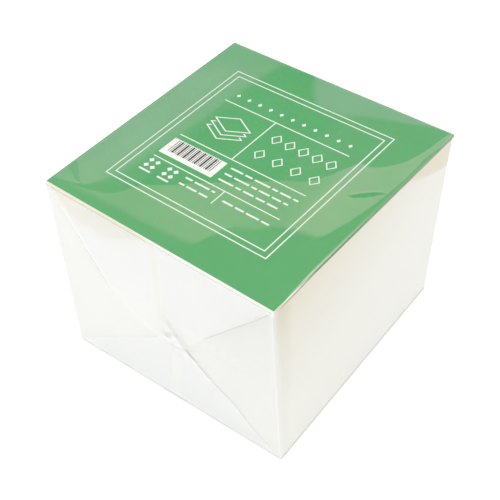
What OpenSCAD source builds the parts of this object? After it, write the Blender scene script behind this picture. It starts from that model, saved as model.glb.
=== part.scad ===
// A block of loose memo sheets under a printed label card, wrapped in clear film.
// Sizes are in millimetres. The origin is the centre of the base and +Z is up.
// The film is a tube along Y. It is lapped under the base and folded over both Y ends.

/* [Sheets] */
// Side of the square memo sheets
sheet_side = 95; // [92:0.5:105]
// Number of sheets in the stack
sheet_count = 1000; // [800:10:1080]
// Thickness of one sheet
sheet_t = 0.078; // [0.07:0.001:0.08]
// How far the top sheet has slid along X from the bottom one
lean_x = 3.3; // [0:0.1:5]
// How far the top sheet has slid along Y from the bottom one
lean_y = 1.3; // [0:0.1:3]
// Turn of the top sheet on the stack, in degrees
stack_turn = -2.2; // [-4:0.05:4]
// How much the loose sheets at the top stand out of line, over both sides together
top_spread = 1.2; // [0:0.1:2]

/* [Label card] */
// How much longer the sides of the card are than those of the sheets
card_extra = 1.4; // [0:0.1:3]
// Thickness of the card
card_t = 0.3; // [0.2:0.05:0.6]
// Turn of the card against the bottom sheet, in degrees
card_turn = -2.35; // [-4:0.05:4]
// How far the card has slid along X on the stack
card_x = -0.05; // [-3:0.05:3]
// How far the card has slid along Y on the stack
card_y = 0.9; // [-3:0.05:3]

/* [Film] */
// Thickness of the film
film_t = 0.04; // [0.03:0.005:0.06]
// Air between the film and what it wraps
film_slack = 0.02; // [0.01:0.005:0.05]
// Gap that the two side tucks of an end leave between their free edges
tuck_gap_w = 4.6; // [2:0.1:8]
// How far the free edge of the lower flap stands off the side tucks
lower_lift = 0.3; // [0.1:0.05:0.8]
// Air between the lower flap and the upper flap where they meet
flap_air = 0.15; // [0.05:0.05:0.5]
// Width of the lap seam under the base
seam_w = 12; // [6:0.5:20]

/* [Print frame] */
// Thickness of the printed layer
ink_t = 0.05; // [0.03:0.01:0.1]
// Width of the frame lines and rules
line_w = 0.5; // [0.3:0.05:1]
// Side of the outer frame
frame_side = 68.2; // [66:0.1:74]
// Distance from the outer frame to the inner frame
frame_gap = 2.3; // [1.5:0.1:3]
// How far the print sits off the centre of the card along X
print_x = -0.9; // [-1.5:0.05:1.5]
// How far the print sits off the centre of the card along Y
print_y = 0.75; // [-1.5:0.05:1.5]

/* [Print layout] */
// Distance from the inner frame to the ends of the rules
field_margin = 5; // [4:0.1:6]
// Height of the head band, above the first rule
head_h = 13.4; // [12:0.1:15]
// Height of the title band, between the first rule and the second
title_h = 23.6; // [22:0.1:25]
// Height of the bar band, between the second rule and the third
bar_band_h = 13.3; // [12.5:0.1:14.5]
// Width of the left column, to the upright rule
column_w = 22.9; // [21:0.1:25]
// Length of the short upright rule under the third rule
tick_l = 6.7; // [4:0.1:8]
// Distance from the left column to the short upright rule
tick_x = 8.5; // [6:0.1:10]

/* [Print marks] */
// Height of the large lozenges in the title band
lozenge_h = 4.8; // [3:0.1:6]
// Width of the large lozenges
lozenge_w = 3.9; // [2:0.1:4.5]
// Width of the lines of the large lozenges
lozenge_line = 0.65; // [0.3:0.05:0.9]
// Distance from the first rule to the upper row of large lozenges
title_drop = 7; // [5:0.1:9]
// Distance between the two rows of large lozenges
title_pitch = 9.2; // [7:0.1:11]
// Height of the small lozenges in the head band
bead_h = 2; // [1:0.1:3]
// Number of small lozenges in the head band
bead_count = 11; // [5:1:13]
// Height of the dashes in the note rows
dash_h = 0.8; // [0.4:0.05:1.2]
// Distance between two note rows
row_pitch = 3.2; // [2.5:0.1:3.5]
// Width of the emblem of stacked sheets
emblem_w = 15.5; // [10:0.5:17]
// Depth of one sheet in the emblem, from its near corner to its far one
emblem_d = 8; // [5:0.5:10]
// Distance between two sheets in the emblem
emblem_step = 2.4; // [1.5:0.1:3]
// Number of sheets in the emblem
emblem_count = 3; // [2:1:4]
// Height of the white bar panel
panel_h = 8.7; // [7:0.1:10]
// Height of the black bars on the panel
bar_h = 6.2; // [4:0.1:6.5]
// Number of black bars on the panel
bar_count = 23; // [12:1:27]

/* [Hidden] */

// The stack rests on the lap seam, which is two films thick
seat_z = 2 * film_t;
stack_h = sheet_count * sheet_t;
stack_top = seat_z + stack_h;
top_side = sheet_side + top_spread;
card_side = sheet_side + card_extra;
card_top = stack_top + card_t;
label_top = card_top + ink_t;

// The turned stack is built in this many slices
stack_slices = 8;

// Thin plates span the wrapped form, so their thickness only has to be small
plate_t = 0.1;
// Length along Y of a prism that has to pass right through one end
through = sheet_side / 2;

// Top of the film
film_top = label_top + film_slack + film_t;
// Length of the tube beyond each end, which is folded over that end
fold_depth = (sheet_side - tuck_gap_w) / 2;
// Creases at 45 degrees leave a flap's free edge as long as the gap is wide
flap_tip = tuck_gap_w;
// The ridge that holds out a flap's free edge reaches a little past both ends of that edge
ridge_over = 0.5;
ridge_w = flap_tip + 2 * ridge_over;
// A flap and the corner triangles under it
flap_layers = 2;
// A flap runs into half the thickness of the side tucks along its crease
flap_grow = film_slack + film_t / 2;
// The flaps fold at the bottom and top sheets, clear of the round of the card's edge
lower_crease_z = seat_z + plate_t;
upper_crease_z = stack_top - plate_t;
// Heights of the free edges of the two flaps
lower_edge_z = lower_crease_z + fold_depth;
upper_edge_z = upper_crease_z - fold_depth;
// The upper flap lies over the lower one, which slopes up to its own free edge
upper_lift = lower_lift * upper_edge_z / lower_edge_z + flap_layers * film_t + flap_air;

// The printed field inside the inner frame, measured from its own centre
inner_side = frame_side - 2 * frame_gap;
field_right = inner_side / 2 - field_margin;
field_left = -field_right;
rule_1 = inner_side / 2 - head_h;
rule_2 = rule_1 - title_h;
rule_3 = rule_2 - bar_band_h;
column_x = field_left + column_w;

// The large lozenges start this far right of the upright rule
title_inset = 4;
// Rows of dashes start this far right of a rule or a panel
note_gap = 2.2;
// Each row beside the panel is shorter than the one above it by this share
note_step = 0.06;
// The notes at the foot hang this far under the third rule
foot_drop = 2.3;
// Width of a dash group, which stands where a word would
dash_lengths = [5.2, 3.1, 6.4, 2.3, 4.4, 3.7];
dash_gap = 0.9;
// Small lozenges of the two foot marks, and the distance between the marks
mark_dot = 2.2;
mark_dot_pitch = 2.8;
mark_pitch = 8.2;
// Places in the cycle of dash groups where the rows at the foot start
foot_starts = [1, 3, 4];
// White margin over the black bars
bar_drop = 0.4;
// Widths of the black bars repeat as one, two or three modules
bar_module = 0.22;
panel_over = 0.3;

// Square plate with its middle at a point, from one height to another
module plate(side, at, low, high, turn = 0) {
    translate([at[0], at[1], low])
        rotate([0, 0, turn])
            translate([-side / 2, -side / 2, 0])
                cube([side, side, high - low]);
}

// The card carries the print with it, so all of them share this place
module on_stack(z) {
    translate([lean_x + card_x, lean_y + card_y, z])
        rotate([0, 0, card_turn])
            children();
}

module on_print(z) {
    on_stack(z)
        translate([print_x, print_y, 0])
            children();
}

// The three plates that the film is drawn over, each grown all round
module wrapped_plates(grow) {
    low = film_t + film_slack - grow;
    plate(sheet_side + 2 * grow, [0, 0], low, low + plate_t);
    plate(top_side + 2 * grow, [lean_x, lean_y], stack_top - plate_t, stack_top, stack_turn);
    plate(
        card_side + 2 * grow,
        [lean_x + card_x, lean_y + card_y],
        stack_top,
        label_top + grow,
        card_turn
    );
}

// The tight form round the stack and its card
module wrapped_form(grow) {
    hull()
        wrapped_plates(grow);
}

// From the middle of a turned square to the farthest of its corners, along X or Y
function corner_reach(side, turn) = side / 2 * (cos(turn) + abs(sin(turn)));

// How far one end reaches along Y at its top, where the sheets or the card stand out more
function top_reach(end) = max(
    corner_reach(top_side, stack_turn) + end * lean_y,
    corner_reach(card_side, card_turn) + end * (lean_y + card_y)
);

// How far one end reaches along Y at a share of the height, from the base up to the card
function end_reach(end, share) = end * (sheet_side / 2 * (1 - share) + top_reach(end) * share);

// Middle of one end along X at a share of the height. The turn carries it to one side.
function end_middle(end, share) = (lean_x - end * top_side / 2 * sin(stack_turn)) * share;

// The same form with a narrow ridge standing out of each end at one height.
// Film drawn over it slopes from the edges of the end to the free edge of a flap.
module tented_form(grow, ridge_z, lift) {
    share = ridge_z / stack_top;
    hull() {
        wrapped_plates(grow);
        for (end = [-1, 1]) {
            y = end_reach(end, share) + end * (film_slack + film_t + lift);
            translate([end_middle(end, share) - ridge_w / 2, min(y, y - end * plate_t), ridge_z])
                cube([ridge_w, plate_t, film_t]);
        }
    }
}

// One flap of an end, seen along Y. It lies between creases at about 45 degrees.
module flap(end, crease_z, edge_z) {
    half = sheet_side / 2;
    from = end_middle(end, crease_z / stack_top);
    to = end_middle(end, edge_z / stack_top);
    polygon([
        [from - half, crease_z],
        [from + half, crease_z],
        [to + flap_tip / 2, edge_z],
        [to - flap_tip / 2, edge_z]
    ]);
}

// The strip that the side tucks leave open between their free edges
module tuck_gap(end) {
    top = end_middle(end, 1);
    polygon([
        [-flap_tip / 2, film_t],
        [flap_tip / 2, film_t],
        [flap_tip / 2 + top, film_top - film_t],
        [-flap_tip / 2 + top, film_top - film_t]
    ]);
}

// A shape seen along Y, carried right through one end
module through_end(end) {
    translate([0, end * sheet_side / 2, 0])
        rotate([90, 0, 0])
            linear_extrude(height = through, center = true)
                children();
}

// A flap at both ends, with the corner triangles that are folded under it
module flap_pair(crease_z, edge_z, lift) {
    intersection() {
        for (end = [-1, 1])
            through_end(end)
                flap(end, crease_z, edge_z);
        difference() {
            tented_form(flap_grow + flap_layers * film_t, edge_z, lift + flap_layers * film_t);
            tented_form(flap_grow, edge_z, lift);
        }
    }
}

module square_ring(side, line) {
    difference() {
        square(side + line, center = true);
        square(side - line, center = true);
    }
}

// A straight printed line, level or upright, with square ends
module rule(from, to) {
    low = [min(from[0], to[0]) - line_w / 2, min(from[1], to[1]) - line_w / 2];
    high = [max(from[0], to[0]) + line_w / 2, max(from[1], to[1]) + line_w / 2];
    translate(low)
        square(high - low);
}

module lozenge(w, h) {
    polygon([[0, h / 2], [w / 2, 0], [0, -h / 2], [-w / 2, 0]]);
}

// Evenly spaced places along a row, counted from zero
function spread(from, to, count, i) = from + (to - from) * i / (count - 1);

// Sum of the first dash groups and the gaps after them, cycling through the list
function dash_end(start, n) =
    n == 0 ? 0 : dash_end(start, n - 1) + dash_lengths[(start + n - 1) % len(dash_lengths)] + dash_gap;

// A row of dashes that fills a width. Each row starts at its own place in the cycle.
module note_row(x, y, width, start = 0) {
    most = 12;
    for (n = [0 : most - 1]) {
        from = dash_end(start, n);
        to = min(dash_end(start, n + 1) - dash_gap, width);
        if (to - from > dash_h)
            translate([x + from, y - dash_h / 2])
                square([to - from, dash_h]);
    }
}

module frame_lines() {
    square_ring(frame_side, line_w);
    square_ring(inner_side, line_w);
}

module rules() {
    for (y = [rule_1, rule_2, rule_3])
        rule([field_left, y], [field_right, y]);
    rule([column_x, rule_1], [column_x, rule_2]);
    rule([column_x + tick_x, rule_3], [column_x + tick_x, rule_3 - tick_l]);
}

// One row of small lozenges across the head band
module head_beads() {
    inset = 2.5;
    for (i = [0 : bead_count - 1])
        translate([spread(field_left + inset, field_right - inset, bead_count, i), rule_1 + head_h / 3])
            lozenge(bead_h * lozenge_w / lozenge_h, bead_h);
}

// Two rows of open lozenges in the right column of the title band
module title_lozenges() {
    first = column_x + title_inset + lozenge_w / 2;
    last = field_right - lozenge_w / 2;
    row_counts = [5, 4];
    for (row = [0, 1], i = [0 : row_counts[row] - 1])
        translate([spread(first, last, row_counts[row], i), rule_1 - title_drop - row * title_pitch])
            difference() {
                lozenge(lozenge_w + lozenge_line, lozenge_h + lozenge_line);
                lozenge(lozenge_w - lozenge_line, lozenge_h - lozenge_line);
            }
}

// Flat sheets one above the other, seen from a corner. Only the top one shows whole.
module sheet_emblem() {
    slope = emblem_d / emblem_w;
    // A sloping line is thicker along X and Y than it is across
    line_h = line_w * sqrt(1 + slope * slope);
    translate([(field_left + column_x) / 2, rule_1 - title_h / 2 + (emblem_count - 1) * emblem_step / 2]) {
        difference() {
            lozenge(emblem_w + line_h / slope, emblem_d + line_h);
            lozenge(emblem_w - line_h / slope, emblem_d - line_h);
        }
        for (i = [1 : emblem_count - 1])
            translate([0, -i * emblem_step])
                difference() {
                    lozenge(emblem_w + line_h / slope, emblem_d + line_h);
                    lozenge(emblem_w - line_h / slope, emblem_d - line_h);
                    translate([0, emblem_step])
                        lozenge(emblem_w + 3 * line_h / slope, emblem_d + 3 * line_h);
                }
    }
}

// The white field that the black bars stand on
module bar_panel() {
    translate([field_left - panel_over, rule_2 - (bar_band_h + panel_h) / 2])
        square([column_w + 2 * panel_over, panel_h]);
}

// Width of one black bar, in modules
function bar_width(i) = 1 + (i * i + 2 * i) % 3;

module bars() {
    inset = 2.2;
    for (i = [0 : bar_count - 1])
        translate([
            spread(field_left + inset, column_x - inset, bar_count, i),
            rule_2 - (bar_band_h - panel_h) / 2 - bar_drop - bar_h / 2
        ])
            square([bar_module * bar_width(i), bar_h], center = true);
}

// Note rows beside the bar panel and under the third rule
module notes() {
    right_x = column_x + note_gap + line_w;
    right_w = field_right - right_x;
    for (i = [0 : 2])
        note_row(right_x, rule_2 - bar_band_h / 2 + (1 - i) * row_pitch, right_w * (1 - i * note_step), i);
    left_x = field_left + 2 * mark_pitch;
    left_w = column_x + tick_x - note_gap - left_x;
    for (i = [0, 1])
        note_row(left_x, rule_3 - foot_drop - i * row_pitch, left_w, foot_starts[i]);
    foot_x = column_x + tick_x + note_gap;
    note_row(foot_x, rule_3 - foot_drop - row_pitch / 2, field_right - foot_x, foot_starts[2]);
}

// Two marks of four small lozenges, each over a short dash
module foot_marks() {
    reach = (mark_dot_pitch + mark_dot) / 2;
    for (i = [0, 1])
        translate([field_left + reach + i * mark_pitch, rule_3 - foot_drop - mark_dot_pitch / 2]) {
            for (x = [-1, 1], y = [-1, 1])
                translate([x, y] * mark_dot_pitch / 2)
                    lozenge(mark_dot, mark_dot);
            translate([-reach, -reach - 2 * dash_h])
                square([2 * reach, dash_h]);
        }
}

// Everything that the green print leaves bare, so that the white card shows
module bare_card() {
    frame_lines();
    rules();
    head_beads();
    title_lozenges();
    sheet_emblem();
    bar_panel();
    notes();
    foot_marks();
}

// The stack of loose sheets, which slides and turns evenly from bottom to top
module sheet_block() {
    lean = [
        [1, 0, lean_x / stack_h, 0],
        [0, 1, lean_y / stack_h, 0],
        [0, 0, 1, seat_z],
        [0, 0, 0, 1]
    ];
    color("#f5f4ee")
        multmatrix(lean)
            linear_extrude(height = stack_h, twist = -stack_turn, scale = top_side / sheet_side, slices = stack_slices)
                square(sheet_side, center = true);
}

// The white card on top of the sheets
module label_card() {
    color("#fbfbf8")
        on_stack(stack_top)
            translate([-card_side / 2, -card_side / 2, 0])
                cube([card_side, card_side, card_t]);
}

// The green layer over the card, open wherever the card stays white
module green_print() {
    color("#5fb27a")
        on_stack(card_top)
            linear_extrude(height = ink_t)
                difference() {
                    square(card_side, center = true);
                    translate([print_x, print_y])
                        bare_card();
                }
}

// The black bars, which stand on the white panel
module black_print() {
    color("#26231f")
        on_print(card_top)
            linear_extrude(height = ink_t)
                bars();
}

// The clear film: one tube with a lap seam, folded over both ends
module film_wrap() {
    color([0.93, 0.95, 0.94, 0.35]) {
        difference() {
            wrapped_form(film_slack + film_t);
            wrapped_form(film_slack);
            for (end = [-1, 1])
                through_end(end)
                    tuck_gap(end);
        }
        flap_pair(lower_crease_z, lower_edge_z, lower_lift);
        flap_pair(upper_crease_z, upper_edge_z, upper_lift);
        translate([-seam_w / 2, -sheet_side / 2, 0])
            cube([seam_w, sheet_side, 2 * film_t]);
    }
}

sheet_block();
label_card();
green_print();
black_print();
film_wrap();
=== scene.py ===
"""Looks of a memo block: loose sheets under a green printed card, wrapped in clear film.

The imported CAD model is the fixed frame. The stack and the film are modelled here in
detail, the card and its print keep their CAD solids and get procedural finishes.
"""
import logging
import math
from dataclasses import dataclass, field
from enum import Enum
from typing import Any, Sequence

import bpy
import numpy as np
from mathutils import Matrix, Vector


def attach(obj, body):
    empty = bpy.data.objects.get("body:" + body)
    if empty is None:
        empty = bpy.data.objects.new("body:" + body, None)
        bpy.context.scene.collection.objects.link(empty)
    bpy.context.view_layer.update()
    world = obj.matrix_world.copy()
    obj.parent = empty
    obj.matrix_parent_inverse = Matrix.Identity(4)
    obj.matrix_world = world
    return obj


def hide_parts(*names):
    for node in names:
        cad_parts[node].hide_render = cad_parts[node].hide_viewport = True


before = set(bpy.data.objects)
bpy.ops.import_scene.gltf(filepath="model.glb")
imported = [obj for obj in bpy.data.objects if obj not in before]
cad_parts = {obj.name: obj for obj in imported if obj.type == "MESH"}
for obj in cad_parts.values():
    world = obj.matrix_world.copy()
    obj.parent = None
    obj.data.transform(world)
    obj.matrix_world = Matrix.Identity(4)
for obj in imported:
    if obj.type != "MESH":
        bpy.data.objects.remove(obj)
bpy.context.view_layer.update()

MM = 0.001
BODY = "root"
log = logging.getLogger("memo_block")


class Side(Enum):
    """The four sides of the film tube, in the order in which the sheet passes them."""

    BASE = "base"
    RIGHT = "right"
    TOP = "top"
    LEFT = "left"


@dataclass(frozen=True)
class Socket:
    """A node's output that ordinary arithmetic can be written with.

    Args:
        tree: the material's node builder.
        link: the output socket.
    """

    tree: "Tree"
    link: bpy.types.NodeSocket

    def _math(self, operation: str, first: Any, second: Any) -> "Socket":
        """Adds a Math node and returns its result."""
        return self.tree.node("ShaderNodeMath", {"operation": operation}, {0: first, 1: second})

    def __add__(self, other: Any) -> "Socket":
        """self + other."""
        return self._math("ADD", self, other)

    __radd__ = __add__

    def __sub__(self, other: Any) -> "Socket":
        """self - other."""
        return self._math("SUBTRACT", self, other)

    def __rsub__(self, other: Any) -> "Socket":
        """other - self."""
        return self._math("SUBTRACT", other, self)

    def __mul__(self, other: Any) -> "Socket":
        """self * other."""
        return self._math("MULTIPLY", self, other)

    __rmul__ = __mul__

    def __truediv__(self, other: Any) -> "Socket":
        """self / other."""
        return self._math("DIVIDE", self, other)

    def __pow__(self, other: Any) -> "Socket":
        """self ** other."""
        return self._math("POWER", self, other)

    def __abs__(self) -> "Socket":
        """The value without its sign."""
        return self._math("ABSOLUTE", self, 0.0)


@dataclass
class Tree:
    """Builds the nodes of one material or of the world.

    Args:
        nodes: the node tree that is filled.
    """

    nodes: bpy.types.NodeTree

    @classmethod
    def material(cls, name: str) -> tuple["Tree", bpy.types.Material]:
        """Starts an empty material.

        Args:
            name: the material's name.

        Returns:
            The builder and the material.
        """
        made = bpy.data.materials.new(name)
        made.use_nodes = True
        made.node_tree.nodes.clear()
        return cls(made.node_tree), made

    def node(
        self,
        kind: str,
        settings: dict[str, Any] | None = None,
        inputs: dict[Any, Any] | None = None,
        output: Any = 0,
    ) -> Socket:
        """Adds a node, sets it up and returns one of its outputs.

        Args:
            kind: the node's type name.
            settings: properties of the node, and "keys" for a curve.
            inputs: values or Sockets, by the input's name or number.
            output: the name or number of the output that is returned.

        Returns:
            The output, ready for arithmetic.
        """
        made = self.nodes.nodes.new(kind)
        for name, value in (settings or {}).items():
            if name == "keys":
                self._fill_curve(made.mapping, value)
            else:
                setattr(made, name, value)
        for name, value in (inputs or {}).items():
            if isinstance(value, Socket):
                self.nodes.links.new(value.link, made.inputs[name])
            else:
                made.inputs[name].default_value = value
        return Socket(self, made.outputs[output])

    @staticmethod
    def _fill_curve(mapping: bpy.types.CurveMapping, keys: Sequence[tuple[float, float]]) -> None:
        """Gives a curve its keys, each a place and a value, and joins them smoothly.

        Args:
            mapping: the curve node's mapping.
            keys: the first, the last and then the other keys.
        """
        points = mapping.curves[0].points
        for index, (place, value) in enumerate(keys):
            key = points[index] if index < 2 else points.new(place, value)
            key.location = (place, value)
            key.handle_type = "AUTO_CLAMPED"
        mapping.update()

    def place(self, kind: str = "Object") -> Socket:
        """The point that is shaded, in the frame's metres."""
        return self.node("ShaderNodeTexCoord", output=kind)

    def noise(self, point: Socket, scale: float, detail: float = 2.0, rough: float = 0.5) -> Socket:
        """Cloudy values from 0 to 1 at a scale given in waves to the metre."""
        inputs = {"Vector": point, "Scale": scale, "Detail": detail, "Roughness": rough}
        return self.node("ShaderNodeTexNoise", None, inputs)

    def stretched(self, point: Socket, scale: tuple[float, float, float]) -> Socket:
        """The point with each of its axes scaled, for grain that runs one way."""
        return self.node("ShaderNodeMapping", None, {"Vector": point, "Scale": scale})

    def attribute(self, name: str) -> Socket:
        """A value that the mesh holds for each of its points."""
        return self.node("ShaderNodeAttribute", {"attribute_name": name}, output="Fac")

    def axis(self, point: Socket, which: int) -> Socket:
        """A point's x, y or z, for which 0, 1 or 2."""
        return self.node("ShaderNodeSeparateXYZ", None, {0: point}, which)

    def ray(self, kind: str) -> Socket:
        """1 for rays of a kind that Light Path names, else 0."""
        return self.node("ShaderNodeLightPath", output=kind)

    def larger(self, first: Socket, second: Socket) -> Socket:
        """The larger of two values."""
        return self.node("ShaderNodeMath", {"operation": "MAXIMUM"}, {0: first, 1: second})

    def ramp(
        self, value: Socket, low: float, high: float, start: float = 0.0, end: float = 1.0
    ) -> Socket:
        """start below low, end above high and a straight line between them."""
        return self.node("ShaderNodeMapRange", None, {0: value, 1: low, 2: high, 3: start, 4: end})

    def surface(self, colour: Socket, roughness: float, specular: float, normal: Socket) -> Socket:
        """An opaque finish of one colour pattern and one relief."""
        inputs = {"Base Color": colour, "Roughness": roughness, "Specular IOR Level": specular}
        return self.node("ShaderNodeBsdfPrincipled", None, {**inputs, "Normal": normal})

    def curve(self, along: Socket, keys: Sequence[tuple[float, float]]) -> Socket:
        """A value that is read from a curve at a place from 0 to 1.

        Args:
            along: the place.
            keys: its places, each with its value, in any order.

        Returns:
            The value there.
        """
        ordered = sorted(keys, key=lambda key: key[0])
        ends = [ordered[0], ordered[-1], *ordered[1:-1]]
        return self.node("ShaderNodeFloatCurve", {"keys": ends}, {"Value": along})

    def step(self, value: Socket, low: float, high: float) -> Socket:
        """0 below low and 1 above high, with a soft rise between them."""
        inputs = {0: value, 1: low, 2: high, 3: 0.0, 4: 1.0}
        return self.node("ShaderNodeMapRange", {"interpolation_type": "SMOOTHSTEP"}, inputs)

    def mix_colour(self, factor: Any, first: Any, second: Any) -> Socket:
        """A colour between first and second."""
        return self.node("ShaderNodeMix", {"data_type": "RGBA"}, {0: factor, 6: first, 7: second}, 2)

    def bump(self, height: Socket, distance: float, strength: float) -> Socket:
        """A normal that is turned by a height."""
        inputs = {"Height": height, "Distance": distance, "Strength": strength}
        return self.node("ShaderNodeBump", None, inputs)

    def finish(self, shader: Socket) -> None:
        """Makes shader the surface that shows."""
        self.node_output(shader, "ShaderNodeOutputMaterial")

    def node_output(self, shader: Socket, kind: str) -> None:
        """Adds the output node of a material or of the world and links shader to it."""
        made = self.nodes.nodes.new(kind)
        self.nodes.links.new(shader.link, made.inputs["Surface"])


def rgba(colour: Sequence[float]) -> tuple[float, float, float, float]:
    """A colour with full alpha."""
    return (colour[0], colour[1], colour[2], 1.0)


@dataclass(frozen=True)
class SheetPaper:
    """Plain white sheets, with their cut edges as fine level lines.

    Args:
        colour: the paper.
        shade: the paper where an edge lies a little back.
        deep: the paper under painted shade, where the card keeps the light off.
        dusk: the share of the colour that is left in the deepest painted even shade.
        lines: how often the fine lines of the sheets' edges change, to the metre of height.
        bands: how often their broad bands change, to the metre of height.
        relief: how deep the edges' lines are.
    """

    colour: tuple[float, float, float] = (0.925, 0.925, 0.89)
    shade: tuple[float, float, float] = (0.905, 0.90, 0.855)
    deep: tuple[float, float, float] = (0.79, 0.735, 0.55)
    dusk: float = 0.8
    lines: float = 2200.0
    bands: float = 260.0
    relief: float = 0.05 * MM

    def material(self) -> bpy.types.Material:
        """Builds the paper's material.

        Returns:
            The material, which has its slot's name.
        """
        tree, made = Tree.material("sheet_paper")
        point = tree.place()
        edges = tree.noise(tree.stretched(point, (12.0, 12.0, self.lines)), 1.0, 2.0, 0.6)
        bands = tree.noise(tree.stretched(point, (6.0, 6.0, self.bands)), 1.0, 2.0, 0.5)
        mask = tree.ramp(edges * 0.7 + bands * 0.3, 0.25, 0.6)
        lit = tree.mix_colour(mask, rgba(self.shade), rgba(self.colour))
        # Painted shade: the stack's shaded and dusk attributes darken the paper's colour
        lit = tree.mix_colour(tree.attribute("shaded"), lit, rgba(self.deep))
        dimmed = tree.node("ShaderNodeVectorMath", {"operation": "SCALE"}, {0: lit, "Scale": self.dusk})
        colour = tree.mix_colour(tree.attribute("dusk"), lit, dimmed)
        fibres = tree.noise(point, 1600.0, 3.0, 0.6)
        normal = tree.bump(edges * 0.7 + fibres * 0.3, self.relief, 0.3)
        tree.finish(tree.surface(colour, 0.85, 0.25, normal))
        return made


@dataclass(frozen=True)
class CardBoard:
    """Smooth white card, which shows at the edges and in the open marks of the print.

    Args:
        colour: the card.
        shade: the card in the hollows of its grain.
        relief: how deep the grain is.
    """

    colour: tuple[float, float, float] = (0.93, 0.92, 0.89)
    shade: tuple[float, float, float] = (0.87, 0.86, 0.82)
    relief: float = 0.04 * MM

    def material(self) -> bpy.types.Material:
        """Builds the card's material.

        Returns:
            The material, which has its slot's name.
        """
        tree, made = Tree.material("card_board")
        point = tree.place()
        grain = tree.noise(point, 900.0, 4.0, 0.6)
        colour = tree.mix_colour(grain, rgba(self.shade), rgba(self.colour))
        tree.finish(tree.surface(colour, 0.6, 0.35, tree.bump(grain, self.relief, 0.4)))
        return made


@dataclass(frozen=True)
class Ink:
    """A flat field of print with the faint mottle of ink on card.

    Args:
        name: the material's name.
        colour: the ink where it lies full.
        thin: the ink where it lies thin.
        roughness: how matt it is.
        relief: how deep the mottle is.
    """

    name: str
    colour: tuple[float, float, float]
    thin: tuple[float, float, float]
    roughness: float = 0.5
    relief: float = 0.03 * MM

    def material(self) -> bpy.types.Material:
        """Builds the ink's material.

        Returns:
            The material, which has its slot's name.
        """
        tree, made = Tree.material(self.name)
        point = tree.place()
        mottle = tree.noise(point, 700.0, 5.0, 0.65)
        clouds = tree.noise(point, 45.0, 2.0, 0.5)
        mask = tree.ramp(mottle * 0.6 + clouds * 0.4, 0.35, 0.7)
        colour = tree.mix_colour(mask, rgba(self.colour), rgba(self.thin))
        normal = tree.bump(mottle, self.relief, 0.4)
        tree.finish(tree.surface(colour, self.roughness, 0.35, normal))
        return made


# The width in millimetres that a curve's range from 0 to 1 stands for
CURVE_SPAN = 120


def key_places(keys: Sequence[tuple[float, float]]) -> list[tuple[float, float]]:
    """Keys in millimetres from the frame's origin, brought to a curve's range from 0 to 1."""
    return [(a / CURVE_SPAN + 0.5, b / CURVE_SPAN + 0.5) for a, b in keys]


def key_levels(keys: Sequence[tuple[float, float]]) -> list[tuple[float, float]]:
    """Keys whose places are in millimetres and whose values are from 0 to 1 as they stand."""
    return [(a / CURVE_SPAN + 0.5, b) for a, b in keys]


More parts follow.
